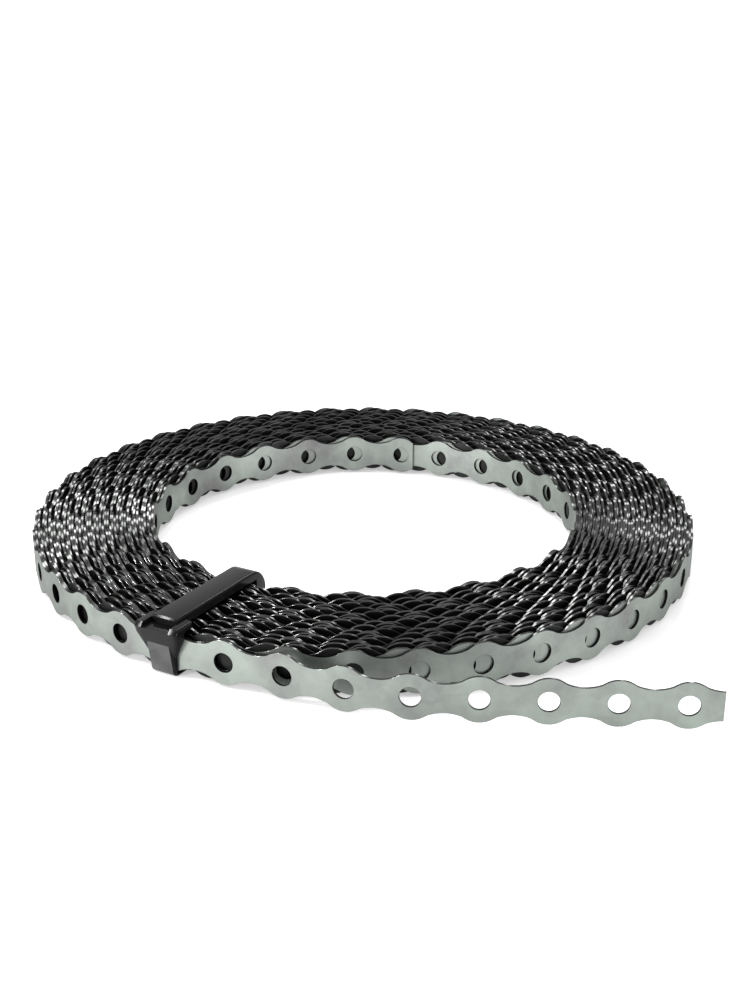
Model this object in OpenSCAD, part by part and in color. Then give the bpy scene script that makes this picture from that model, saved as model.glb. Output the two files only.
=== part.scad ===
// Roll of wavy-edged perforated steel strap held by one binding clip.
// Millimetres. The roll's axis is Z, the floor is z = 0 and the free end runs along X.

/* [Strap] */
// Width of the strap over its bulges
strap_width = 12; // [11.6:0.1:12.6]
// Width of the strap at its necks
neck_width = 7.6; // [7:0.1:8.2]
// Thickness of the sheet
strap_thickness = 0.7; // [0.5:0.05:0.8]
// Distance between neighbouring holes along the strap
hole_pitch = 16; // [15.5:0.25:16.5]
// Diameter of every hole
hole_diameter = 5.2; // [4.4:0.1:5.6]
// Flat left on the top of each bulge, as a drop from the full arc
crest_drop = 0.02; // [0.01:0.01:0.05]

/* [Roll] */
// Diameter of the open eye of the roll
eye_diameter = 125; // [118:1:132]
// Diameter over the wound strap
roll_diameter = 194.8; // [188:0.2:200]
// Gap between neighbouring turns
turn_gap = 0.03; // [0.03:0.01:0.1]
// Angle at which the inner end of the strap lies
inner_end_angle = 78; // [60:1:100]
// Distance from the inner end to its first hole
inner_end_to_hole = 4.1; // [3.5:0.1:8]

/* [Free end] */
// Angle at which the strap leaves the roll
leave_angle = -111.5; // [-113:0.5:-108]
// Distance from there to the first hole of the free end
leave_to_hole = 7.6; // [4:0.1:9]
// Holes before the bend of the free end
holes_before_bend = 2; // [1:1:3]
// Holes in the bend of the free end
holes_in_bend = 2; // [1:1:3]
// Holes in the straight stretch at the end
holes_after_bend = 4; // [2:1:6]

/* [Clip] */
// Angle at which the clip holds the roll
clip_angle = -117; // [-130:1:-117]
// Width of the clip's band
clip_width = 7.6; // [6:0.2:9]
// Thickness of the clip over the top of the roll
clip_top = 2.4; // [1.6:0.1:3]
// Thickness of the clip under the roll
clip_under = 0.8; // [0.6:0.1:1.2]
// Thickness of the clip's leg inside the eye
clip_inner_leg = 1.8; // [1.2:0.1:2.5]
// Thickness of the clip's outer leg at its foot
clip_foot = 1; // [0.8:0.1:1.6]
// Thickness of the clip's outer leg at its top
clip_shoulder = 2.6; // [2:0.1:3.2]
// Width of the head at the outer top corner
head_width = 13; // [10:0.5:14]
// Thickness of the head in front of the roll
head_depth = 3.6; // [3.3:0.1:4.5]
// Height of the head below its crown
head_height = 9; // [7:0.5:10]
// Drop of the head's crown below the top of the clip
head_drop = 0.9; // [0.5:0.1:1.2]
// Distance of the top bar's end back from the outside of the roll
bar_setback = 0.6; // [0.2:0.1:1.5]
// Clearance between the clip and the strap
clip_clearance = 0.15; // [0.15:0.01:0.3]
// Radius of the clip's bends
clip_bend = 1.8; // [1:0.1:2]

/* [Hidden] */
$fn = 64;
eye_r = eye_diameter / 2;
roll_r = roll_diameter / 2;
half_w = strap_width / 2;
hole_r = hole_diameter / 2;
mid_z = clip_under + half_w;
// A strap wound on itself grows by this much in each turn
turn_step = strap_thickness + turn_gap;
// Pieces that continue one another overlap, one thinner by a hair on each side
seam_hair = 0.02;
seam_lap = 0.6;
// Reach of a cutter past the surface it cuts
past = 1;
hole_past = 0.4;
// Half thickness of the solid that joins the turns, kept inside their necks
core_inset = 0.3;
core_half = neck_width / 2 - core_inset;
// Bulge arcs are concentric with the holes; neck arcs are a little larger than would touch them
neck_oversize = 1.1;
bulge_r = half_w + crest_drop;
tangent_r = (pow(hole_pitch / 2, 2) + pow(neck_width / 2, 2) - pow(bulge_r, 2))
    / (2 * (bulge_r - neck_width / 2));
neck_r = neck_oversize * tangent_r;
// Height at which the two arcs meet, half the flat of a crest, and how much of it a cut may take
neck_cut_low = bulge_r * (neck_width / 2 + neck_r) / (bulge_r + neck_r);
crest_flat = sqrt(2 * bulge_r * crest_drop);
crest_share = 0.8;
neck_cut_half = hole_pitch / 2 - crest_share * crest_flat;
// Middle radii of the outermost and the innermost turn, each in two half circles
outer_r = roll_r - strap_thickness / 2;
inner_r = eye_r + strap_thickness / 2;
outer_half = PI * outer_r;
inner_half = PI * inner_r;
inner_length = inner_half + PI * (inner_r + turn_step / 2);
outer_length = outer_half + PI * (outer_r - turn_step / 2);
// Free end: straight, bend, straight, the last stretch along X
bend_angle = -90 - leave_angle;
bend_start = leave_to_hole + (holes_before_bend - 0.5) * hole_pitch;
bend_length = holes_in_bend * hole_pitch;
bend_end = bend_start + bend_length;
bend_r = bend_length / (bend_angle * PI / 180);
free_length = bend_end + holes_after_bend * hole_pitch;
free_holes = holes_before_bend + holes_in_bend + holes_after_bend;
// The roll stands back so that the whole part is centred on the origin
free_face = bend_r + strap_thickness / 2 - (outer_r - bend_r) * sin(leave_angle)
    - bend_start * cos(leave_angle);
roll_y = (free_face - roll_r) / 2;
// Turns between the innermost and the outermost one, wound close
wound_from = eye_r + 2 * turn_step;
wound_to = roll_r - 2 * turn_step;
wound_turns = round((wound_to - wound_from) / turn_step);
wound_step = (wound_to - wound_from) / wound_turns;
// Clip, in the radial plane through its middle
clip_low = clip_under + strap_width + clip_clearance;
clip_high = clip_low + clip_top;
clip_in = eye_r - clip_clearance;
clip_out = roll_r + clip_clearance;
bar_end = clip_out - bar_setback;
head_crown = clip_high - head_drop;
// The band runs a little below the head's crown where the head covers it
shelf_drop = 0.3;
clip_shelf = head_crown - shelf_drop;
bend_steps = 6;

function degrees(length, radius) = length / radius * 180 / PI;
// Waves along the strap before turn k, and the height of its edge on one radius of the roll
function waves_before(k) = 2 * PI * (k * wound_from + wound_step * k * k / 2) / hole_pitch;
function edge_height(k) =
    neck_width / 2 + (half_w - neck_width / 2) * (1 + cos(360 * waves_before(k))) / 2;
function bend_points(x, y, r, from) =
    [for (i = [0 : bend_steps]) [x + r * cos(from + 90 * i / bend_steps),
                                 y + r * sin(from + 90 * i / bend_steps)]];

// What is cut away at one neck, along the strap and across it
module neck_outline() {
    for (side = [0, 1]) mirror([0, side]) difference() {
        union() {
            translate([0, neck_width / 2 + neck_r]) circle(neck_r);
            translate([-neck_cut_half, neck_cut_low])
                square([2 * neck_cut_half, half_w - neck_cut_low + past]);
        }
        for (way = [-1, 1]) translate([way * hole_pitch / 2, 0]) circle(bulge_r);
    }
}

// Stands a cutter's outline up across a wall from x = low to x = high
module across(low, high) {
    translate([low - past, 0, 0]) rotate([90, 0, 90])
        linear_extrude(height = high - low + 2 * past) children();
}

// Cutter for one hole, from the back of the strap at x = 0 to beyond its face
module hole_cutter(back) {
    translate([-strap_thickness / 2 - back, 0, 0]) rotate([0, 90, 0])
        cylinder(r = hole_r, h = strap_thickness + back + hole_past);
}

// Half disc on the left of the direction at the given angle
module half_disc(radius, angle, lap) {
    rotate(angle) intersection() {
        circle(radius);
        translate([-2 * radius, -lap]) square([4 * radius, 2 * radius]);
    }
}

// Half ring of strap on the left of the direction at the given angle
module half_ring(radius, angle, lap, hair) {
    difference() {
        half_disc(radius + strap_thickness / 2 - hair, angle, lap);
        circle(radius - strap_thickness / 2 + hair);
    }
}

// Frame on the outermost turn (length below 0) or the free end (above 0)
module on_outer(length) {
    if (length < -outer_half)
        rotate(leave_angle) translate([-turn_step / 2, 0, 0])
            rotate(180 + degrees(length + outer_half, outer_r - turn_step / 2))
                translate([outer_r - turn_step / 2, 0, 0]) children();
    else if (length < 0)
        rotate(leave_angle + degrees(length, outer_r)) translate([outer_r, 0, 0]) children();
    else if (length < bend_start)
        rotate(leave_angle) translate([outer_r, length, 0]) children();
    else if (length < bend_end)
        rotate(leave_angle) translate([outer_r - bend_r, bend_start, 0])
            rotate(degrees(length - bend_start, bend_r)) translate([bend_r, 0, 0]) children();
    else
        rotate(leave_angle) translate([outer_r - bend_r, bend_start, 0])
            rotate(bend_angle) translate([bend_r, length - bend_end, 0]) children();
}

// Frame on the innermost turn, by the distance from the inner end
module on_inner(length) {
    if (length < inner_half)
        rotate(inner_end_angle + degrees(length, inner_r)) translate([inner_r, 0, 0]) children();
    else
        rotate(inner_end_angle) translate([turn_step / 2, 0, 0])
            rotate(180 + degrees(length - inner_half, inner_r + turn_step / 2))
                translate([inner_r + turn_step / 2, 0, 0]) children();
}

// Plan of a straight stretch of strap
module straight_plan(from, to, hair) {
    translate([-strap_thickness / 2 + hair, from])
        square([strap_thickness - 2 * hair, to - from]);
}

// Plan of the older half of the outermost turn
module outer_old_plan() {
    rotate(leave_angle) translate([-turn_step / 2, 0]) rotate(-leave_angle)
        half_ring(outer_r - turn_step / 2, leave_angle, seam_lap, seam_hair);
}

// Plan of the newer half of the outermost turn and the free end
module outer_new_plan() {
    half_ring(outer_r, leave_angle + 180, 0, 0);
    on_outer(0) straight_plan(-seam_lap, bend_start + seam_lap, seam_hair);
    rotate(leave_angle) translate([outer_r - bend_r, bend_start]) intersection() {
        difference() {
            circle(bend_r + strap_thickness / 2);
            circle(bend_r - strap_thickness / 2);
        }
        polygon([[0, 0], [2 * bend_r, 0],
                 [2 * bend_r * cos(bend_angle), 2 * bend_r * sin(bend_angle)]]);
    }
    on_outer(bend_end) straight_plan(-seam_lap, free_length - bend_end, seam_hair);
}

// Plan of the newer half of the innermost turn
module inner_new_plan() {
    rotate(inner_end_angle) translate([turn_step / 2, 0]) rotate(-inner_end_angle)
        half_ring(inner_r + turn_step / 2, inner_end_angle + 180, seam_lap, seam_hair);
}

// Stands a plan of strap up to the strap's width
module upright() {
    linear_extrude(height = strap_width, center = true) children();
}

// Outermost turn and free end with waved edges
module outer_strap() {
    wall = strap_thickness / 2;
    necks = [for (i = [-ceil(outer_length / hole_pitch) : free_holes])
             leave_to_hole + (i - 0.5) * hole_pitch];
    difference() {
        upright() outer_new_plan();
        for (at = necks) if (at > -outer_half - hole_pitch / 2)
            on_outer(at) across(-wall, wall) neck_outline();
    }
    difference() {
        upright() outer_old_plan();
        for (at = necks) if (at < -outer_half + hole_pitch / 2)
            on_outer(at) across(-wall, wall) neck_outline();
    }
}

// Innermost turn with waved edges
module inner_strap() {
    wall = strap_thickness / 2;
    necks = [for (i = [0 : ceil(inner_length / hole_pitch)])
             inner_end_to_hole + (i - 0.5) * hole_pitch];
    difference() {
        upright() half_ring(inner_r, inner_end_angle, 0, 0);
        for (at = necks) if (at < inner_half + hole_pitch / 2)
            on_inner(at) across(-wall, wall) neck_outline();
    }
    difference() {
        upright() inner_new_plan();
        for (at = necks) if (at > inner_half - hole_pitch / 2)
            on_inner(at) across(-wall, wall) neck_outline();
    }
}

// Close-wound turns as one turned solid: the section on one radius, each turn at its own height
module wound() {
    end = [for (k = [0 : wound_turns - 1]) each
           [[wound_from + k * wound_step, edge_height(k)],
            [wound_from + (k + 1) * wound_step, edge_height(k)]]];
    rotate_extrude()
        polygon(concat(end, [for (i = [len(end) - 1 : -1 : 0]) [end[i][0], -end[i][1]]]));
}

// Solid that joins all turns between the levels of their necks
module core() {
    linear_extrude(height = 2 * core_half, center = true) difference() {
        union() {
            half_disc(outer_r, leave_angle + 180, 0);
            rotate(leave_angle) translate([-turn_step / 2, 0]) rotate(-leave_angle)
                half_disc(outer_r - turn_step / 2 - seam_hair, leave_angle, seam_lap);
            circle(wound_to - turn_gap);
        }
        half_disc(inner_r, inner_end_angle, 0);
        rotate(inner_end_angle) translate([turn_step / 2, 0]) rotate(-inner_end_angle)
            half_disc(inner_r + turn_step / 2 + seam_hair, inner_end_angle + 180, 0);
    }
}

module strap() {
    color("silver") translate([0, roll_y, mid_z]) difference() {
        union() {
            core();
            wound();
            outer_strap();
            inner_strap();
        }
        for (i = [2 - ceil(outer_length / hole_pitch) : -1])
            on_outer(leave_to_hole + i * hole_pitch) hole_cutter(0);
        for (i = [0 : free_holes - 1])
            on_outer(leave_to_hole + i * hole_pitch) hole_cutter(turn_gap / 2);
        for (i = [0 : floor(inner_length / hole_pitch) - 1])
            on_inner(inner_end_to_hole + i * hole_pitch) mirror([1, 0, 0]) hole_cutter(0);
    }
}

// Section of the clip's band round the roll
module clip_band() {
    difference() {
        polygon(concat(
            bend_points(clip_out + clip_shoulder - clip_bend, clip_shelf - clip_bend, clip_bend, 0),
            [[bar_end, clip_shelf], [bar_end, clip_high]],
            bend_points(clip_in - clip_inner_leg + clip_bend, clip_high - clip_bend, clip_bend, 90),
            bend_points(clip_in - clip_inner_leg + clip_bend, clip_bend, clip_bend, 180),
            bend_points(clip_out + clip_foot - clip_bend, clip_bend, clip_bend, 270)));
        translate([clip_in, clip_under])
            square([clip_out - clip_in, clip_low - clip_under]);
    }
}

// Section of the head at the outer top corner
module clip_head() {
    foot = head_crown - head_height;
    polygon(concat(
        bend_points(clip_out + head_depth - clip_bend, head_crown - clip_bend, clip_bend, 0),
        [[clip_out - 2 * clip_bend, head_crown], [clip_out - 2 * clip_bend, clip_low],
         [clip_out, clip_low], [clip_out, foot], [clip_out + clip_foot, foot]]));
}

// Front view of the head: full width above, narrowing to the band below
module clip_head_front() {
    foot = head_crown - head_height;
    shoulder = head_crown - head_height / 3;
    polygon([[-head_width / 2, head_crown + past], [head_width / 2, head_crown + past],
             [head_width / 2, shoulder], [clip_width / 2 - past / 4, foot - past],
             [past / 4 - clip_width / 2, foot - past], [-head_width / 2, shoulder]]);
}

module clip() {
    color("dimgray") translate([0, roll_y, 0]) rotate(clip_angle) union() {
        rotate([90, 0, 0]) linear_extrude(height = clip_width, center = true) clip_band();
        intersection() {
            rotate([90, 0, 0]) linear_extrude(height = head_width + past, center = true) clip_head();
            translate([clip_out - 3 * clip_bend, 0, 0]) rotate([90, 0, 90])
                linear_extrude(height = head_depth + 4 * clip_bend) clip_head_front();
        }
    }
}

strap();
clip();
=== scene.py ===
# %% [markdown]
# # A roll of perforated steel strap
# This lesson dresses a roll of wavy-edged, punched steel strap that lies flat and is held by one dark
# clip. The solid model is loaded first. It gives the frame and the box that everything has to stay in,
# so each piece below is made at its true place and nothing has to be fitted by eye. Sizes are written in
# millimetres, and MM turns them into metres when a mesh is made.

# %% Load the solid model
import math

import bmesh
import bpy
import numpy as np
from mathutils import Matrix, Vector


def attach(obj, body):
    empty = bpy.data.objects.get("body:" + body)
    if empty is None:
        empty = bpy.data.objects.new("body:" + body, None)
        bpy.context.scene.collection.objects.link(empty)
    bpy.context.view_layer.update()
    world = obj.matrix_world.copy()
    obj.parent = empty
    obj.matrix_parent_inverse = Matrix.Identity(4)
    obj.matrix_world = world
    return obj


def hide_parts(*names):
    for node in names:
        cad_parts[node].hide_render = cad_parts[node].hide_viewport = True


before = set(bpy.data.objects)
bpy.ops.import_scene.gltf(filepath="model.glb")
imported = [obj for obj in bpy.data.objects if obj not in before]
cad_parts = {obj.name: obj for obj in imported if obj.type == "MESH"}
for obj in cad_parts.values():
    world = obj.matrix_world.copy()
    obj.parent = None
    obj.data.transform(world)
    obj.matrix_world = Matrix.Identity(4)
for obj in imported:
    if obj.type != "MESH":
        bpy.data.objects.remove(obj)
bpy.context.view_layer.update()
MM = 0.001


# %% [markdown]
# ## Where the strap runs
# The strap is one strip: it starts inside the eye, winds outwards anticlockwise for many close turns,
# leaves the roll at the front and ends in a free stretch with a slight bend. A curve object could carry
# it, but with this many turns a formula is exact and quick. The function below takes distances along the
# strap and returns the points of its middle line and the directions that face away from the roll.

# %% Path of the strap
ROLL_CENTRE = np.array((0.0, 5.381))
INNER_R, OUTER_R = 62.85, 97.05  # middle of the sheet at the inner end and where it leaves the roll
INNER_END = math.radians(78)
LEAVE = math.radians(-111.5)
TURNS_BEGUN = 48
BEND_START, BEND_LENGTH = 31.6, 32.0  # BEND_START counts from where the strap leaves the roll
BEND_ANGLE = math.radians(21.5)
FREE_LENGTH = 127.6

bend_r = BEND_LENGTH / BEND_ANGLE
wound_angle = 2 * math.pi * TURNS_BEGUN + LEAVE - INNER_END
growth = (OUTER_R - INNER_R) / wound_angle
wound_length = INNER_R * wound_angle + growth * wound_angle ** 2 / 2
strap_length = wound_length + FREE_LENGTH


def turned(angle):
    """Unit vectors at the angles, anticlockwise from the x axis."""
    return np.stack([np.cos(angle), np.sin(angle)], axis=-1)


def strap_path(s):
    """Points on the middle line (mm) and outward directions at the distances s (mm) from the inner end."""
    s = np.asarray(s, dtype=float)
    radius = np.sqrt(INNER_R ** 2 + 2 * growth * np.clip(s, 0, wound_length))
    turning = (radius - INNER_R) / growth
    free = np.clip(s - wound_length, 0, None)
    bend = np.clip((free - BEND_START) / bend_r, 0, BEND_ANGLE)
    heading = INNER_END + turning + bend
    outward = turned(heading)
    wound = outward * (INNER_R + growth * turning)[..., None]
    leave = turned(np.array(LEAVE))
    first = np.clip(free, 0, BEND_START)[..., None] * turned(np.array(LEAVE + math.pi / 2))
    arc = bend_r * (outward - leave)
    past_bend = np.clip(free - BEND_START - BEND_LENGTH, 0, None)[..., None]
    last = past_bend * turned(heading + math.pi / 2)
    point = np.where((free > 0)[..., None], OUTER_R * leave + first + arc + last, wound)
    return point + ROLL_CENTRE, outward


print(f"strap: {strap_length * MM:.2f} m in {wound_angle / (2 * math.pi):.1f} turns")
print(f"each turn lies {2 * math.pi * growth:.3f} mm outside the one before")

# %% [markdown]
# ## The waved outline
# The press that punched the holes also cut both edges into waves: round bulges about each hole, and a
# waist half way to the next. The waves could be drawn by hand, but two arcs give them exactly: a bulge
# arc about the hole and a hollow arc in the waist, and the higher of the two is the edge. The pitch is
# changed by a hair so that a hole falls where it should at both ends of the strap.

# %% Half width of the strap along one pitch
HALF_WIDTH, HALF_WAIST = 6.0, 3.8
BULGE_R, WAIST_R = 6.02, 10.455
ARCS_MEET = 2.9  # nearer to the hole than this there is only the bulge
NOMINAL_PITCH = 16.0
INNER_END_TO_HOLE, LEAVE_TO_HOLE = 4.1, 7.6
FREE_HOLES = 8

holes_span = wound_length + LEAVE_TO_HOLE - INNER_END_TO_HOLE
wound_pitches = round(holes_span / NOMINAL_PITCH)
PITCH = holes_span / wound_pitches


def half_width(x):
    """Height of the strap's edge (mm) at the distance x from the nearest hole's middle."""
    x = np.abs(np.asarray(x, dtype=float))
    bulge = np.sqrt(np.clip(BULGE_R ** 2 - x ** 2, 0, None))
    waist = HALF_WAIST + WAIST_R - np.sqrt(WAIST_R ** 2 - (PITCH / 2 - x) ** 2)
    waist = np.where(x > ARCS_MEET, waist, 0)
    return np.minimum(np.maximum(bulge, waist), HALF_WIDTH)


print(f"pitch {PITCH:.4f} mm, {wound_pitches + FREE_HOLES} holes")
print(f"edge from {half_width(PITCH / 2):.2f} to {half_width(0.0):.2f} mm off the middle")

# %% [markdown]
# ## One pitch of strap with its hole
# The strap repeats from waist to waist, so one pitch is meshed and used again and again. Its outline goes
# up the right side, back along the upper wave, down the left side and forward along the lower wave. A
# flag tells the waved segments from the two sides, because only the waves are cut edges. At its sides a
# pitch joins its neighbours.

# %% Outline of one pitch
SIDE_STEPS, WAVE_STEPS = 4, 20
OUTLINE_POINTS = 2 * (SIDE_STEPS + WAVE_STEPS)


def pitch_outline(left, right):
    """Points (along, height) round one pitch, and for each segment whether it lies on a waved edge."""
    up = np.linspace(-1, 1, SIDE_STEPS + 1)[:-1]
    run = np.linspace(right, left, WAVE_STEPS + 1)[:-1]
    back = np.linspace(left, right, WAVE_STEPS + 1)[:-1]
    along = np.concatenate([np.full(SIDE_STEPS, right), run, np.full(SIDE_STEPS, left), back])
    rising, falling = up * half_width(right), -up * half_width(left)
    height = np.concatenate([rising, half_width(run), falling, -half_width(back)])
    waved = np.repeat([False, True, False, True], [SIDE_STEPS, WAVE_STEPS, SIDE_STEPS, WAVE_STEPS])
    return along, height, waved


print("outline of one pitch:", OUTLINE_POINTS, "points")

# %% [markdown]
# The hole could be cut with a Boolean modifier, but that leaves long thin faces. Here rays go from points
# on the hole to points on the outline, so all faces are clean four-sided ones. The corners where a cut
# meets the sheet get a narrow bevel, which is what catches the light on real sheet metal. Each vertex is
# kept as a distance along the strap, a height and a distance from the middle of the sheet until the path
# bends it into place.

# %% Mesh of one pitch with a hole
HOLE_R = 2.6
HALF_SHEET = 0.345
BEVEL = 0.07
# The third material number is painted shade: a near-black finish for the walls of the holes and for covered
# turns, where shade falls.
FACE, EDGE, PAINTED_SHADE = range(3)  # material numbers
RIM, LIP, MIDWAY, BORDER, OUTER = range(5)  # rings of points from the hole to the outline
RINGS = 5  # on each of the sheet's two faces


def punched_pitch(left, right, face=FACE):
    """Vertices (along, height, off the middle), quads and material numbers of one pitch with its hole."""
    along, height, waved = pitch_outline(left, right)
    on_edge = waved | np.roll(waved, 1)
    inset = np.where(on_edge, height - np.sign(height) * BEVEL, height)
    rim = turned(np.arctan2(height, along)).T * HOLE_R
    lip = rim * (HOLE_R + BEVEL) / HOLE_R
    border, outer = np.stack([along, inset]), np.stack([along, height])
    rings = [(rim, HALF_SHEET - BEVEL), (lip, HALF_SHEET), ((lip + border) / 2, HALF_SHEET),
             (border, HALF_SHEET), (outer, HALF_SHEET - BEVEL)]
    verts = []
    for side in (1, -1):
        for ring, off in rings:
            verts.append(np.column_stack([*ring, np.full(OUTLINE_POINTS, side * off)]))
    here = np.arange(OUTLINE_POINTS)
    after = np.roll(here, -1)
    quads, kinds = [], []

    def band(low, high, kind, flip=False, keep=slice(None)):
        low, high = low * OUTLINE_POINTS, high * OUTLINE_POINTS
        corners = [low + here, high + here, high + after, low + after]
        quad = np.stack(corners[::-1] if flip else corners, axis=-1)[keep]
        quads.append(quad)
        kinds.append(np.full(len(quad), kind))

    # The rims and walls of the hole get the painted shade.
    for first, flip in ((0, False), (RINGS, True)):
        band(first + RIM, first + LIP, PAINTED_SHADE, flip)
        band(first + LIP, first + MIDWAY, face, flip)
        band(first + MIDWAY, first + BORDER, face, flip)
        band(first + BORDER, first + OUTER, EDGE, flip, waved)
    band(OUTER, RINGS + OUTER, EDGE, keep=waved)
    band(RIM, RINGS + RIM, PAINTED_SHADE, flip=True)
    return np.concatenate(verts), np.concatenate(quads), np.concatenate(kinds)


sample = punched_pitch(-PITCH / 2, PITCH / 2)
print("one pitch:", len(sample[0]), "vertices,", len(sample[1]), "quads")

# %% [markdown]
# ## From points to a piece
# Every piece below ends in the same way, so one helper does it. Points that fall together are merged,
# points without a face are dropped and the faces are turned outwards. Then all faces shade smoothly, but
# edges sharper than a given angle stay crisp. Modifiers could do the same, but a mesh that is final can be
# counted and measured at once.

# %% Clean and shade a mesh
MERGE_WITHIN = 0.002


def add_piece(name, mesh, crisp):
    """Object in the scene with the mesh cleaned and shaded; edges over crisp degrees stay crisp."""
    work = bmesh.new()
    work.from_mesh(mesh)
    bmesh.ops.remove_doubles(work, verts=work.verts, dist=MERGE_WITHIN * MM)
    loose = [vert for vert in work.verts if not vert.link_faces]
    bmesh.ops.delete(work, geom=loose, context="VERTS")
    bmesh.ops.recalc_face_normals(work, faces=work.faces)
    work.to_mesh(mesh)
    work.free()
    mesh.polygons.foreach_set("use_smooth", np.ones(len(mesh.polygons), dtype=bool))
    mesh.set_sharp_from_angle(angle=math.radians(crisp))
    piece = bpy.data.objects.new(name, mesh)
    bpy.context.scene.collection.objects.link(piece)
    triangles = sum(len(polygon.vertices) - 2 for polygon in mesh.polygons)
    print(f"{name}: {triangles} triangles")
    return piece


print("points within", MERGE_WITHIN, "mm of each other will be merged")

# %% [markdown]
# All stretches of strap go through the next helper. It bends the flat vertices along the path and writes a
# texture map that runs along and across the strap, so that rolling marks can follow every turn. A Curve
# modifier could bend a flat mesh too, but it would have to be told the same path point by point.

# %% Bend flat strap along the path
MID_Z = 6.8
STRAP_CRISP = 30  # degrees


def strap_mesh(name, flat, quads, kinds, ends):
    """Piece of strap from vertices (distance, height, off the middle), quads, material numbers and ends."""
    point, outward = strap_path(flat[:, 0])
    plan = point + outward * flat[:, 2:3]
    places = np.column_stack([plan, flat[:, 1] + MID_Z]) * MM
    mesh = bpy.data.meshes.new(name)
    mesh.from_pydata(places.tolist(), [], quads.tolist() + [end.tolist() for end in ends])
    kinds = np.concatenate([kinds, np.full(len(ends), EDGE)])
    mesh.polygons.foreach_set("material_index", kinds.astype(np.int32))
    loop_verts = np.empty(len(mesh.loops), dtype=np.int32)
    mesh.loops.foreach_get("vertex_index", loop_verts)
    uv = mesh.uv_layers.new(name="along_strap")
    uv.data.foreach_set("uv", (flat[loop_verts][:, :2] * MM).astype(np.float32).ravel())
    piece = add_piece(name, mesh, STRAP_CRISP)
    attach(piece, "root")
    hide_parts("strap")
    return piece


print(f"sheet {2 * HALF_SHEET:.2f} mm thick, its middle line {MID_Z} mm above the floor")

# %% [markdown]
# ## The turns whose holes can be seen
# Only the outermost and innermost turns and the free end show their holes, so these are made pitch by
# pitch with the full mesh. Each run is closed at both ends with a flat face, so that every mesh is a
# closed body. The strip is pale where it lies bare. Covered turns and the walls of the holes get painted
# shade, but short stretches are left pale as painted light, with painted shade only on their lower crests.

# %% A run of strap with holes
RIGHT_SIDE = np.arange(SIDE_STEPS + 1)
LEFT_SIDE = RIGHT_SIDE + SIDE_STEPS + WAVE_STEPS


def hole_at(index):
    """Distance of a hole's middle from the inner end of the strap."""
    return INNER_END_TO_HOLE + PITCH * index


def cut_end(side):
    """Vertex numbers round the cut face over the outline's points in side."""
    rows = []
    for first in (0, RINGS):
        border, outer = (first + BORDER) * OUTLINE_POINTS, (first + OUTER) * OUTLINE_POINTS
        rows.append(np.concatenate([[outer + side[0]], border + side, [outer + side[-1]]]))
    return np.concatenate([rows[0], rows[1][::-1]])


def punched_run(name, first, last, bare, painted_lit, start_cut=-PITCH / 2):
    """Strap with holes from number first to number last, pale where bare or painted_lit has the number, in
    painted shade elsewhere.
    """
    flats, quads, kinds, ends, total = [], [], [], [], 0
    for index in range(first, last + 1):
        left = start_cut if index == first else -PITCH / 2
        # Bare pitches and the painted-light stretches get the pale sheet, the rest painted shade.
        pale = index in bare or index in painted_lit
        verts, faces, kind = punched_pitch(left, PITCH / 2, FACE if pale else PAINTED_SHADE)
        # Painted shade stays on the lower crests of the painted-light stretches.
        if index in painted_lit:
            low = verts[faces][:, :, 1].mean(axis=1) < -HALF_WAIST
            kind[low & (kind == FACE)] = PAINTED_SHADE
        flats.append(verts + np.array((hole_at(index), 0, 0)))
        quads.append(faces + total)
        kinds.append(kind)
        if index == first:
            ends.append(cut_end(LEFT_SIDE) + total)
        if index == last:
            ends.append(cut_end(RIGHT_SIDE) + total)
        total += len(verts)
    return strap_mesh(name, np.concatenate(flats), np.concatenate(quads), np.concatenate(kinds), ends)


print(f"first hole {hole_at(0):.1f} mm from the inner end of the strap")

# %% [markdown]
# Three turns on each side are punched, because one looks through a hole of the first at the holes of the
# turns behind it. Further turns hardly show there. The first turn on each side lies bare, and the stretches
# of painted light are on the second, where the holes of the first show pale metal.

# %% Punched turns and the free end
PUNCHED_TURNS = 3
TO_MIDDLE_TURN = 1  # about the distance from the bare turn to the middle one of the three
# Stretches of the second turns painted pale as if lit, where the holes of the first turn show them.
PAINTED_LIT_START, PAINTED_LIT_END = 4, 6  # pitches at both ends of the second turn inside
PAINTED_LIT_FROM, PAINTED_LIT_TO = 1, 12  # pitches of the second turn outside

inner_holes = round(PUNCHED_TURNS * 2 * math.pi * (INNER_R + TO_MIDDLE_TURN) / PITCH)
outer_holes = round(PUNCHED_TURNS * 2 * math.pi * (OUTER_R - TO_MIDDLE_TURN) / PITCH)
inside_turn, outside_turn = inner_holes // PUNCHED_TURNS, outer_holes // PUNCHED_TURNS
second_outside = wound_pitches - 2 * outside_turn
first_outer, last_hole = wound_pitches - outer_holes, wound_pitches + FREE_HOLES - 1

bare_inside = range(inside_turn)
painted_lit_inside = [*range(inside_turn, inside_turn + PAINTED_LIT_START),
                 *range(2 * inside_turn - PAINTED_LIT_END, 2 * inside_turn)]
bare_outside = range(wound_pitches - outside_turn, last_hole + 1)
painted_lit_outside = range(second_outside + PAINTED_LIT_FROM, second_outside + PAINTED_LIT_TO)
strap_inside = punched_run("strap_inside_turns", 0, inner_holes - 1,
                           bare_inside, painted_lit_inside, start_cut=-INNER_END_TO_HOLE)
strap_outside = punched_run("strap_outside_turns", first_outer, last_hole, bare_outside, painted_lit_outside)

# %% [markdown]
# ## The turns between
# Some forty turns lie between those, and only their edges show, as rows of small crests that shift from
# turn to turn like fish scales. They need no holes: a bevelled section is carried along the path and
# follows the waves. A picture of crests on a flat ring would be lighter, but it would have no glints and
# no depth. The run is cut in two so that no single mesh gets too heavy.

# %% Wound turns
CREST_STEPS = 16


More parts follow.
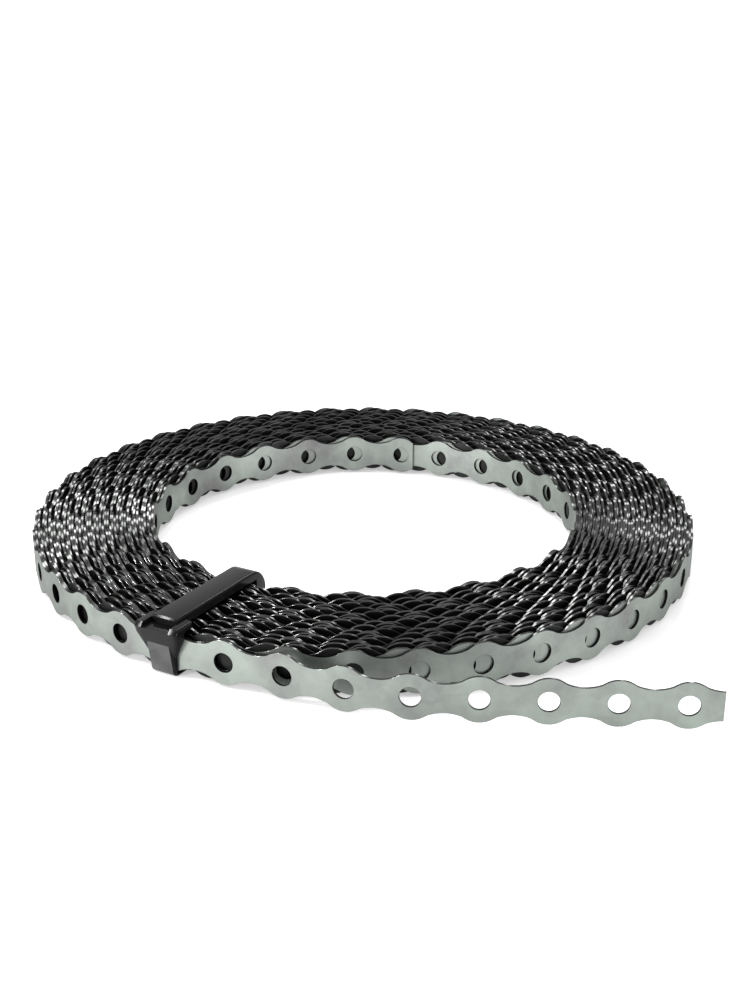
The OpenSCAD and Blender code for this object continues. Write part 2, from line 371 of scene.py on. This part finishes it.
def wound_run(name, first, last):
    """Strap without holes from the waist before hole number first to the waist after hole number last."""
    steps = (last - first + 1) * CREST_STEPS
    s = hole_at(first) - PITCH / 2 + PITCH / CREST_STEPS * np.arange(steps + 1)
    edge = half_width((s - INNER_END_TO_HOLE + PITCH / 2) % PITCH - PITCH / 2)
    flat_edge = HALF_SHEET - BEVEL
    section = [(-1, BEVEL, -HALF_SHEET), (-1, 0, -flat_edge), (-1, 0, flat_edge), (-1, BEVEL, HALF_SHEET),
               (1, BEVEL, HALF_SHEET), (1, 0, flat_edge), (1, 0, -flat_edge), (1, BEVEL, -HALF_SHEET)]
    lines = [np.column_stack([s, up * (edge - drop), np.full(len(s), off)]) for up, drop, off in section]
    flat = np.stack(lines, axis=1).reshape(-1, 3)
    round_section = np.arange(len(section))
    here = np.arange(steps)[:, None] * len(section) + round_section
    after = np.arange(steps)[:, None] * len(section) + np.roll(round_section, -1)
    quads = np.stack([here, after, after + len(section), here + len(section)], axis=-1).reshape(-1, 4)
    # The broad faces here get the first finish, which is painted shade.
    kinds = np.tile([EDGE, EDGE, EDGE, FACE, EDGE, EDGE, EDGE, FACE], steps)
    ends = [round_section, steps * len(section) + round_section]
    return strap_mesh(name, flat, quads, kinds, ends)


middle = (inner_holes + first_outer) // 2
wound_inside = wound_run("strap_wound_turns_inside", inner_holes, middle - 1)
wound_outside = wound_run("strap_wound_turns_outside", middle, first_outer - 1)

# %% [markdown]
# ## The clip
# A dark plastic clip is closed tightly round the winding. It is a flat band bent round four corners. Its
# bar on top stops with a square end at the outer corner, where a wider head covers the band. Both pieces
# are made in the same way: an outline in the upright plane through the roll's axis is carried across the
# clip, and its long edges are rounded over towards the two sides, because only a round edge shows a
# glint. A Bevel modifier was the other choice, but it is held back by the short edges of the bends.

# %% Carry an outline across the clip
CORNER_STEPS = 8
ROUND_STEPS = 4


def corner(x, z, radius, first):
    """Points of a quarter circle, from the angle first (degrees) anticlockwise."""
    angles = np.radians(np.linspace(first, first + 90, CORNER_STEPS + 1))
    return [(x + radius * math.cos(a), z + radius * math.sin(a)) for a in angles]


def across(outline, widths, soft, middle=()):
    """Rows of points (out, along, up) from side to side, and the quads between them by row and by point."""
    outline, widths, soft = np.array(outline), np.array(widths), np.array(soft)
    step = np.roll(outline, -1, axis=0) - np.roll(outline, 1, axis=0)
    outward = np.stack([step[:, 1], -step[:, 0]], axis=-1) / np.linalg.norm(step, axis=1, keepdims=True)
    rounded = []
    for turn in np.linspace(0, math.pi / 2, ROUND_STEPS + 1):
        place = outline - outward * (soft * (1 - math.sin(turn)))[:, None]
        rounded.append((place, widths - soft * (1 - math.cos(turn))))
    rows = [(place, -side) for place, side in rounded]
    rows += [(outline, np.clip(along, soft - widths, widths - soft)) for along in middle]
    rows += rounded[::-1]
    points = [np.column_stack([place[:, 0], along, place[:, 1]]) for place, along in rows]
    here = np.arange(len(outline))
    after = np.roll(here, -1)
    low = np.arange(len(rows) - 1)[:, None] * len(outline)
    high = low + len(outline)
    return np.concatenate(points), np.stack([low + here, low + after, high + after, high + here], axis=-1)


print("a rounded corner has", len(corner(0, 0, 1, 0)), "points")

# %% [markdown]
# The next helper turns such points into a piece at the clip's place on the roll. The clip's own directions
# are outwards from the roll's axis, along the strap and up, which keeps its sizes easy to read. One turn
# about the axis then puts it where it belongs.

# %% Make a piece of the clip
CLIP_ANGLE = math.radians(-117)
CLIP_CRISP = 35  # degrees


def clip_piece(name, points, faces, painted_reflection=()):
    """Piece of the clip from points (out, along, up) and faces; the face numbers in painted_reflection get
    slot 1.
    """
    c, s = math.cos(CLIP_ANGLE), math.sin(CLIP_ANGLE)
    out, along, up = points.T
    x = c * out - s * along + ROLL_CENTRE[0]
    y = s * out + c * along + ROLL_CENTRE[1]
    places = np.column_stack([x, y, up]) * MM
    mesh = bpy.data.meshes.new(name)
    mesh.from_pydata(places.tolist(), [], [[int(point) for point in face] for face in faces])
    slots = [index in painted_reflection for index in range(len(faces))]
    mesh.polygons.foreach_set("material_index", np.array(slots, dtype=np.int32))
    piece = add_piece(name, mesh, CLIP_CRISP)
    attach(piece, "root")
    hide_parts("clip")
    return piece


print(f"clip at {math.degrees(CLIP_ANGLE):.0f} degrees round the roll")

# %% [markdown]
# The band is a loop with a thin foot under the roll, a leg on each side and the bar on top. Both legs get
# thicker towards their shoulders, and the inner one is rounded into the bar with a wide bend. The outline
# holds only the corners of that shape, with the bends as quarter circles.

# %% Outline of the clip's band
CLIP_IN, CLIP_OUT = 62.35, 97.55  # insides of the two legs, measured from the roll's axis
CLIP_UNDER, CLIP_LOW, CLIP_HIGH = 0.8, 12.95, 15.35  # top of the foot, underside and top of the bar
CLIP_SHELF = 13.2  # top of the outer leg, where the head sits
CLIP_BEND, BAR_BEND = 1.8, 6.0
INNER_LEG, INNER_SHOULDER = 1.8, 4.4  # thickness of the inner leg, low and high
FOOT, SHOULDER = 1.0, 2.6  # thickness of the outer leg, low and high
BAR_END, BAR_BEVEL = 96.95, 0.45

band_outline = corner(CLIP_OUT + SHOULDER - CLIP_BEND, CLIP_SHELF - CLIP_BEND, CLIP_BEND, 0)
band_outline += [(BAR_END, CLIP_SHELF), (BAR_END, CLIP_HIGH - BAR_BEVEL), (BAR_END - BAR_BEVEL, CLIP_HIGH)]
band_outline += corner(CLIP_IN - INNER_SHOULDER + BAR_BEND, CLIP_HIGH - BAR_BEND, BAR_BEND, 90)
band_outline += corner(CLIP_IN - INNER_LEG + CLIP_BEND, CLIP_BEND, CLIP_BEND, 180)
band_outline += corner(CLIP_OUT + FOOT - CLIP_BEND, CLIP_BEND, CLIP_BEND, 270)
print("outline of the band:", len(band_outline), "points")

# %% [markdown]
# The band's inside is a plain rectangle round the winding: each point of the outline is paired with the
# nearest point of it, and three strips of quads close the two sides and the inside. The front of the outer
# leg faces the white floor, so its faces get a grey finish as a painted reflection of the floor.

# %% Mesh of the clip's band
CLIP_HALF_WIDTH = 3.8
BAND_SOFT = 0.6

count = len(band_outline)
points, quads = across(band_outline, np.full(count, CLIP_HALF_WIDTH), np.full(count, BAND_SOFT))
inside = np.clip(band_outline, (CLIP_IN, CLIP_UNDER), (CLIP_OUT, CLIP_LOW))
left_in = len(points) + np.arange(count)
right_in = left_in + count
for side in (-CLIP_HALF_WIDTH, CLIP_HALF_WIDTH):
    points = np.concatenate([points, np.column_stack([inside[:, 0], np.full(count, side), inside[:, 1]])])
after = np.roll(np.arange(count), -1)
left_out, right_out = quads[0][:, 0], quads[-1][:, 3]
faces = list(quads.reshape(-1, 4))
for one, other in ((left_out, left_in), (right_out, right_in), (left_in, right_in)):
    faces += list(np.stack([one, one[after], other[after], other], axis=-1))
# Painted reflection: the front of the outer leg takes the second finish, a grey for the white floor
# reflected in it.
front_leg = [count - 1 - i for i in range(CORNER_STEPS // 2 + 1)]
painted_reflection = {row * count + i for row in range(ROUND_STEPS + 1) for i in front_leg}
clip_band = clip_piece("clip_band", points, faces, painted_reflection)

# %% [markdown]
# The head is a cap over the outer corner. Its front slopes outwards, and its upper edge is a flat bevel,
# which glints as a whole. The outline goes up the front, over the crown and back along the band.

# %% Outline of the clip's head
HEAD_CROWN, HEAD_SHOULDER, HEAD_FOOT = 14.45, 11.45, 5.45
HEAD_DEPTH = 3.6
HEAD_BEVEL = 1.1
NOTCH_IN = 96.6

head_front, head_back = CLIP_OUT + HEAD_DEPTH, CLIP_OUT - 2 * CLIP_BEND
bevel_low = HEAD_CROWN - HEAD_BEVEL
shoulder = np.interp(HEAD_SHOULDER, (HEAD_FOOT, bevel_low), (CLIP_OUT + FOOT, head_front))
outside = [(CLIP_OUT + FOOT, HEAD_FOOT), (shoulder, HEAD_SHOULDER), (head_front, bevel_low),
           (head_front - HEAD_BEVEL, HEAD_CROWN), (NOTCH_IN, HEAD_CROWN), (head_back, HEAD_CROWN)]
along_band = [(head_back, CLIP_LOW), (CLIP_OUT, CLIP_LOW), (CLIP_OUT, HEAD_SHOULDER), (CLIP_OUT, HEAD_FOOT)]
head_outline = outside + along_band
print("outline of the head:", len(head_outline), "points")

# %% [markdown]
# The front narrows downwards to the width of the band, so each point of the outline gets its own half
# width. In front of the bar's end a notch is cut through the crown and the bevel: two quads are left out,
# and a floor, a back and two cheeks are put in their place. That is quicker and cleaner than a Boolean.

# %% Mesh of the clip's head
HEAD_HALF_WIDTH = 6.5
HEAD_SOFT, HEAD_FOOT_SOFT = 0.9, 0.4
NOTCH_SIDES = (-4.2, 4.2)
NOTCH_RIM = np.array((2, 3, 4))  # points of the outline along the notch

count = len(head_outline)
soft = [HEAD_FOOT_SOFT] + [HEAD_SOFT] * (len(outside) - 1) + [0] * len(along_band)
heights = [z for x, z in head_outline]
widths = np.interp(heights, (HEAD_FOOT, HEAD_SHOULDER), (CLIP_HALF_WIDTH, HEAD_HALF_WIDTH))
points, quads = across(head_outline, widths, soft, NOTCH_SIDES)
notch_row = ROUND_STEPS + 1
faces = []
for row, strip in enumerate(quads):
    faces += [quad for i, quad in enumerate(strip) if row != notch_row or i not in NOTCH_RIM[:-1]]
left_rim = notch_row * count + NOTCH_RIM
right_rim = left_rim + count
low_left, low_right = len(points), len(points) + 1
points = np.concatenate([points, [(NOTCH_IN, side, bevel_low) for side in NOTCH_SIDES]])
faces += [(left_rim[0], right_rim[0], low_right, low_left), (left_rim[2], right_rim[2], low_right, low_left),
          (*left_rim, low_left), (*right_rim, low_right)]
upper = [i for i, z in enumerate(heights) if z >= HEAD_SHOULDER]
lower = [i for i, z in enumerate(heights) if z <= HEAD_SHOULDER]
for side in (quads[0][:, 0], quads[-1][:, 3]):
    faces += [side[upper], side[lower]]
clip_head = clip_piece("clip_head", points, faces)

# %% [markdown]
# ## Finishes
# Five finishes are needed: galvanised sheet, painted shade for the sheet between the turns, the sheared
# steel of the cut edges, the clip's black plastic and a grey for its front that is a painted reflection of
# the floor. Two effects show on all of them, a cloudy film and fine lines. Painted pictures could carry
# them, but noise in a node group works at any scale, and each material uses the group with its own
# values. First come three helpers that add nodes and make groups.

# %% Node helpers
def add(tree, kind, **values):
    """Adds a node and sets its inputs by name, with underscores for spaces."""
    node = tree.nodes.new(kind)
    for key, value in values.items():
        node.inputs[key.replace("_", " ")].default_value = value
    return node


def add_math(tree, operation, clamp=False):
    """Adds a Math node for one operation."""
    node = tree.nodes.new("ShaderNodeMath")
    node.operation = operation
    node.use_clamp = clamp
    return node


def new_group(name, inputs, outputs):
    """An empty node group with named sockets, and its input and output nodes."""
    group = bpy.data.node_groups.new(name, "ShaderNodeTree")
    for label, kind in inputs.items():
        group.interface.new_socket(label, in_out="INPUT", socket_type="NodeSocket" + kind)
    for label, kind in outputs.items():
        group.interface.new_socket(label, in_out="OUTPUT", socket_type="NodeSocket" + kind)
    return group, group.nodes.new("NodeGroupInput"), group.nodes.new("NodeGroupOutput")


print("helpers ready:", add.__name__, add_math.__name__, new_group.__name__)

# %% [markdown]
# Zinc and plastic are never of one even tone, and the painted shade gets the same unevenness: cloudy,
# with a trace of small crystal patches. The first group mixes a pale and a deep tone by soft noise with a
# little Voronoi in it, and also gives out the mask, so that the roughness can follow the same clouds.

# %% Mottled film
CRYSTALS_PER_CLOUD = 6.0
CRYSTAL_SHARE = 0.07
COLOUR_A, COLOUR_B, COLOUR_RESULT = 6, 7, 2  # colour sockets of a Mix node, which have no names of their own


def mottled_film():
    """Group for a cloudy film: a colour between two tones, and its mask."""
    group, given, made = new_group(
        "mottled film",
        {"Place": "Vector", "Scale": "Float", "Contrast": "Float", "Pale": "Color", "Deep": "Color"},
        {"Colour": "Color", "Mask": "Float"})
    clouds = add(group, "ShaderNodeTexNoise", Detail=5.0, Roughness=0.6)
    crystals = add(group, "ShaderNodeTexVoronoi")
    finer = add_math(group, "MULTIPLY")
    finer.inputs[1].default_value = CRYSTALS_PER_CLOUD
    patch = add(group, "ShaderNodeMix", Factor=CRYSTAL_SHARE)
    spread = add(group, "ShaderNodeMapRange", From_Min=0.3, From_Max=0.7)
    fade = add_math(group, "MULTIPLY")
    tone = add(group, "ShaderNodeMix")
    tone.data_type = "RGBA"
    link = group.links.new
    link(given.outputs["Place"], clouds.inputs["Vector"])
    link(given.outputs["Scale"], clouds.inputs["Scale"])
    link(given.outputs["Place"], crystals.inputs["Vector"])
    link(given.outputs["Scale"], finer.inputs[0])
    link(finer.outputs[0], crystals.inputs["Scale"])
    link(clouds.outputs["Fac"], patch.inputs["A"])
    link(crystals.outputs["Color"], patch.inputs["B"])
    link(patch.outputs["Result"], spread.inputs["Value"])
    link(spread.outputs["Result"], fade.inputs[0])
    link(given.outputs["Contrast"], fade.inputs[1])
    link(fade.outputs[0], tone.inputs["Factor"])
    link(given.outputs["Pale"], tone.inputs[COLOUR_A])
    link(given.outputs["Deep"], tone.inputs[COLOUR_B])
    link(tone.outputs[COLOUR_RESULT], made.inputs["Colour"])
    link(spread.outputs["Result"], made.inputs["Mask"])
    return group


film_group = mottled_film()
print("node group:", film_group.name)

# %% [markdown]
# Rolling, shearing and handling leave fine lines along a surface. The second group draws them with noise
# that is stretched along one direction, and gives out a height for a Bump node. They are far too fine to
# be modelled.

# %% Drawn lines
def drawn_lines():
    """Group for fine lines along one direction, as a height from 0 to 1."""
    group, given, made = new_group(
        "drawn lines", {"Place": "Vector", "Stretch": "Vector", "Scale": "Float"}, {"Height": "Float"})
    stretch = add(group, "ShaderNodeVectorMath")
    stretch.operation = "MULTIPLY"
    lines = add(group, "ShaderNodeTexNoise", Detail=3.0, Roughness=0.55)
    link = group.links.new
    link(given.outputs["Place"], stretch.inputs[0])
    link(given.outputs["Stretch"], stretch.inputs[1])
    link(stretch.outputs["Vector"], lines.inputs["Vector"])
    link(given.outputs["Scale"], lines.inputs["Scale"])
    link(lines.outputs["Fac"], made.inputs["Height"])
    return group


lines_group = drawn_lines()
print("node group:", lines_group.name)

# %% [markdown]
# A finish is a Principled shader fed by the two groups: the film sets its colour and breaks up its
# roughness, and the lines go through a Bump node into the normal. All five finishes are built alike, so
# one function makes them and only the values differ.

# %% Make a finish
def shader_of(material):
    """The Principled shader of a material."""
    return material.node_tree.nodes["Principled BSDF"]


def add_group(tree, group, **values):
    """Places a shared node group in a material and sets its inputs."""
    node = tree.nodes.new("ShaderNodeGroup")
    node.node_tree = group
    for key, value in values.items():
        node.inputs[key].default_value = value
    return node


def make_finish(name, place, pale, deep, film_scale, contrast, rough,
                line_scale, stretch, line_depth, metallic):
    """Material from the two shared groups; place names the coordinates that the lines follow."""
    material = bpy.data.materials.new(name)
    material.use_nodes = True
    tree = material.node_tree
    shader = shader_of(material)
    shader.inputs["Metallic"].default_value = metallic
    where = tree.nodes.new("ShaderNodeTexCoord")
    film = add_group(tree, film_group, Scale=film_scale, Contrast=contrast, Pale=(*pale, 1), Deep=(*deep, 1))
    lines = add_group(tree, lines_group, Scale=line_scale, Stretch=stretch)
    sheen = add(tree, "ShaderNodeMapRange", To_Min=rough[0], To_Max=rough[1])
    bump = add(tree, "ShaderNodeBump", Strength=1.0, Distance=line_depth * MM)
    link = tree.links.new
    link(where.outputs["Object"], film.inputs["Place"])
    link(where.outputs[place], lines.inputs["Place"])
    link(film.outputs["Colour"], shader.inputs["Base Color"])
    link(film.outputs["Mask"], sheen.inputs["Value"])
    link(sheen.outputs["Result"], shader.inputs["Roughness"])
    link(lines.outputs["Height"], bump.inputs["Height"])
    link(bump.outputs["Normal"], shader.inputs["Normal"])
    print("finish:", name)
    return material


# %% [markdown]
# Galvanised sheet is a dull metal of a pale, slightly green grey, with darker clouds. Its rolling lines
# follow the strap, so they use the texture map. Bright metal turns into a mirror at a grazing view, but
# zinc with its oxide does not, and a grey Specular Tint holds that reflection back.

# %% Galvanised sheet
ALONG_STRAP = (0.08, 1, 1)
DULL_AT_GRAZING = (0.5, 0.5, 0.5, 1)

galvanised = make_finish(
    "galvanised sheet", "UV", pale=(0.282, 0.324, 0.291), deep=(0.134, 0.129, 0.131),
    film_scale=45, contrast=0.95, rough=(0.34, 0.5),
    line_scale=900, stretch=ALONG_STRAP, line_depth=0.012, metallic=0.9)
shader_of(galvanised).inputs["Specular Tint"].default_value = DULL_AT_GRAZING

# %% [markdown]
# Between the turns no light gets in, so the sheet there gets painted shade. It is the same sheet, so it
# has the same lines, but tones close to black and smaller clouds. A dark clear coat over the zinc could
# darken it too, but it would glint where the real turns are dark.

# %% Painted shade between the turns
shade_between_turns = make_finish(
    "painted shade between turns", "UV", pale=(0.029, 0.03, 0.029), deep=(0.006, 0.007, 0.006),
    film_scale=140, contrast=0.9, rough=(0.28, 0.5),
    line_scale=900, stretch=ALONG_STRAP, line_depth=0.012, metallic=0.9)
shader_of(shade_between_turns).inputs["Specular Tint"].default_value = DULL_AT_GRAZING

# %% [markdown]
# The press leaves bare, smooth steel on the cut edges. Its tones are kept near black as painted shade for
# the rows of crests between the turns, with patches that vary at random. It is fully metallic and smoother
# than the sheet, which gives the rows of crests their glints. Its fine grain uses the object's own
# coordinates, because the texture map has no direction through the sheet.

# %% Sheared edge
# Near-black tones: painted shade for the crests between the turns; the patches vary at random.
sheared = make_finish(
    "sheared edge", "Object", pale=(0.11, 0.112, 0.11), deep=(0.018, 0.019, 0.018),
    film_scale=70, contrast=0.9, rough=(0.16, 0.3),
    line_scale=700, stretch=(1, 1, 0.2), line_depth=0.006, metallic=1.0)
shader_of(sheared).inputs["Specular Tint"].default_value = DULL_AT_GRAZING

# %% [markdown]
# The clip is moulded in black plastic with a soft gloss. Its tones are close to black, and a low Specular
# level keeps the white studio from turning its faces grey, while the round edges still catch the lamps.

# %% Clip plastic
UPRIGHT = (1, 1, 0.3)
LOW_SPECULAR = 0.1

clip_black = make_finish(
    "clip plastic", "Object", pale=(0.006, 0.006, 0.0065), deep=(0.003, 0.003, 0.0035),
    film_scale=120, contrast=0.7, rough=(0.12, 0.2),
    line_scale=600, stretch=UPRIGHT, line_depth=0.0012, metallic=0.0)
shader_of(clip_black).inputs["Specular IOR Level"].default_value = LOW_SPECULAR

# %% [markdown]
# The front of the clip's outer leg is a dull grey instead of black, as a painted reflection of the white
# floor that it faces. A mask in the black plastic could carry it, but it fills one flat face with a clear
# border, so it is a finish of its own.

# %% Clip plastic with painted reflection
# A grey that stands for the floor's reflection: painted reflection.
clip_painted_reflection = make_finish(
    "clip plastic with painted reflection", "Object", pale=(0.08, 0.079, 0.08), deep=(0.04, 0.04, 0.041),
    film_scale=180, contrast=0.9, rough=(0.3, 0.45),
    line_scale=600, stretch=UPRIGHT, line_depth=0.003, metallic=0.0)
shader_of(clip_painted_reflection).inputs["Specular IOR Level"].default_value = LOW_SPECULAR

# %% [markdown]
# Each face already has a material number, so the finishes only have to be put on the pieces in the right
# order. On the turns between, the broad faces are never bare, so the painted shade takes the first place.

# %% Put the finishes on the pieces
finishes = {
    strap_inside: (galvanised, sheared, shade_between_turns),
    strap_outside: (galvanised, sheared, shade_between_turns),
    wound_inside: (shade_between_turns, sheared),
    wound_outside: (shade_between_turns, sheared),
    clip_band: (clip_black, clip_painted_reflection),
    clip_head: (clip_black, clip_painted_reflection),
}
for piece, materials in finishes.items():
    for material in materials:
        piece.data.materials.append(material)
    print(f"{piece.name}:", ", ".join(material.name for material in materials))

# %% [markdown]
# ## World, floor, light and camera
# The roll lies in a plain white studio. The world looks white to the camera and in reflections, while the
# light that it throws on the object keeps a lower, plain level. More light on everything would make the
# backdrop white as well, but it would bleach the metal. The Light Path node tells the two kinds of rays
# apart.

# %% World
WORLD_LIGHT, WHITE = 0.75, 1.0


def to_white(tree):
    """1 for rays from the camera, reflections and transmission, 0 for light that falls on the object."""
    path = tree.nodes.new("ShaderNodeLightPath")
    first = add_math(tree, "ADD", clamp=True)
    second = add_math(tree, "ADD", clamp=True)
    tree.links.new(path.outputs["Is Camera Ray"], first.inputs[0])
    tree.links.new(path.outputs["Is Glossy Ray"], first.inputs[1])
    tree.links.new(first.outputs[0], second.inputs[0])
    tree.links.new(path.outputs["Is Transmission Ray"], second.inputs[1])
    return second.outputs[0]


world = bpy.data.worlds.new("studio")
bpy.context.scene.world = world
world.use_nodes = True
backdrop = world.node_tree.nodes["Background"]
backdrop.inputs["Color"].default_value = (1, 1, 1, 1)
level = add(world.node_tree, "ShaderNodeMapRange", To_Min=WORLD_LIGHT, To_Max=WHITE)
world.node_tree.links.new(to_white(world.node_tree), level.inputs["Value"])
world.node_tree.links.new(level.outputs["Result"], backdrop.inputs["Strength"])
print("world:", WORLD_LIGHT, "as light,", WHITE, "to the camera")

# %% [markdown]
# The floor is a sheet of white paper, large enough to reach past the frame. It takes the roll's shadow, so
# it is a real surface. A little glow, again only for the camera and reflections, lifts it to the white of
# the backdrop.

# %% Floor
FLOOR_HALF = 6.0  # metres
FLOOR_GLOW = 0.42

floor_corners = [(x * FLOOR_HALF, y * FLOOR_HALF, 0) for x, y in ((-1, -1), (1, -1), (1, 1), (-1, 1))]
floor_mesh = bpy.data.meshes.new("floor")
floor_mesh.from_pydata(floor_corners, [], [(0, 1, 2, 3)])
floor = bpy.data.objects.new("floor", floor_mesh)
bpy.context.scene.collection.objects.link(floor)
paper = bpy.data.materials.new("white paper")
paper.use_nodes = True
sheet = shader_of(paper)
sheet.inputs["Base Color"].default_value = (0.8, 0.8, 0.8, 1)
sheet.inputs["Roughness"].default_value = 0.9
sheet.inputs["Emission Color"].default_value = (1, 1, 1, 1)
lift = add(paper.node_tree, "ShaderNodeMapRange", To_Min=0.0, To_Max=FLOOR_GLOW)
paper.node_tree.links.new(to_white(paper.node_tree), lift.inputs["Value"])
paper.node_tree.links.new(lift.outputs["Result"], sheet.inputs["Emission Strength"])
floor_mesh.materials.append(paper)
print(f"floor: {2 * FLOOR_HALF:.0f} m wide")

# %% [markdown]
# Five soft lamps give the metal its shape. A small key lamp high on the left puts the glints on the clip's
# edges. Two strips behind the roll light the crests on its left and right, and two low lamps at the sides
# brighten the outer faces of the strap. Area lamps are used because their reflections have soft borders,
# as those of a studio lamp have. They are hidden from the camera.

# %% Lamps
def soft_lamp(name, place, width, height, power):
    """Area lamp at a place (m) that faces the middle of the scene."""
    lamp = bpy.data.lights.new(name, "AREA")
    lamp.shape = "RECTANGLE"
    lamp.size = width
    lamp.size_y = height
    lamp.energy = power
    holder = bpy.data.objects.new(name, lamp)
    holder.location = place
    holder.rotation_mode = "QUATERNION"
    holder.rotation_quaternion = (-Vector(place)).to_track_quat("-Z", "Y")
    holder.visible_camera = False
    bpy.context.scene.collection.objects.link(holder)
    print(f"{name}: {power} W, {width} x {height} m, {Vector(place).length:.2f} m away")


soft_lamp("key lamp", (-0.76, -0.23, 0.71), 0.11, 0.11, 4.4)
soft_lamp("left back strip", (-0.25, 0.52, 0.81), 0.25, 0.4, 5.0)
soft_lamp("right back strip", (0.25, 0.74, 0.63), 0.12, 0.4, 2.4)
soft_lamp("left side lamp", (-0.75, -0.57, 0.11), 0.18, 0.18, 11.5)
soft_lamp("right side lamp", (0.8, -0.45, 0.11), 0.18, 0.18, 5.5)

# %% [markdown]
# The camera stands where the photograph was taken from: in front, a little to the right of the middle and
# looking down about 22 degrees. The lens comes from the size of the roll in the picture, and the small
# shift puts the roll at the same place in the frame.

# %% Camera and view
FRAME_HEIGHT = 1000  # pixels
FOCAL_PIXELS = 1434.75
CAMERA_PLACE = (23.81, -395.33, 168.25)

camera_data = bpy.data.cameras.new("camera")
camera = bpy.data.objects.new("camera", camera_data)
bpy.context.scene.collection.objects.link(camera)
camera.location = Vector(CAMERA_PLACE) * MM
aim = Vector((*ROLL_CENTRE, MID_Z)) * MM
camera.rotation_mode = "QUATERNION"
camera.rotation_quaternion = (aim - camera.location).to_track_quat("-Z", "Y")
camera_data.sensor_width = 36
camera_data.lens = FOCAL_PIXELS * camera_data.sensor_width / FRAME_HEIGHT
camera_data.shift_x = 0.01108
camera_data.shift_y = 0.0221
camera_data.clip_start = 0.01
camera_data.clip_end = 20
bpy.context.scene.camera = camera
bpy.context.scene.view_settings.view_transform = "Standard"
print(f"lens {camera_data.lens:.2f} mm, {(aim - camera.location).length / MM:.0f} mm from the roll")
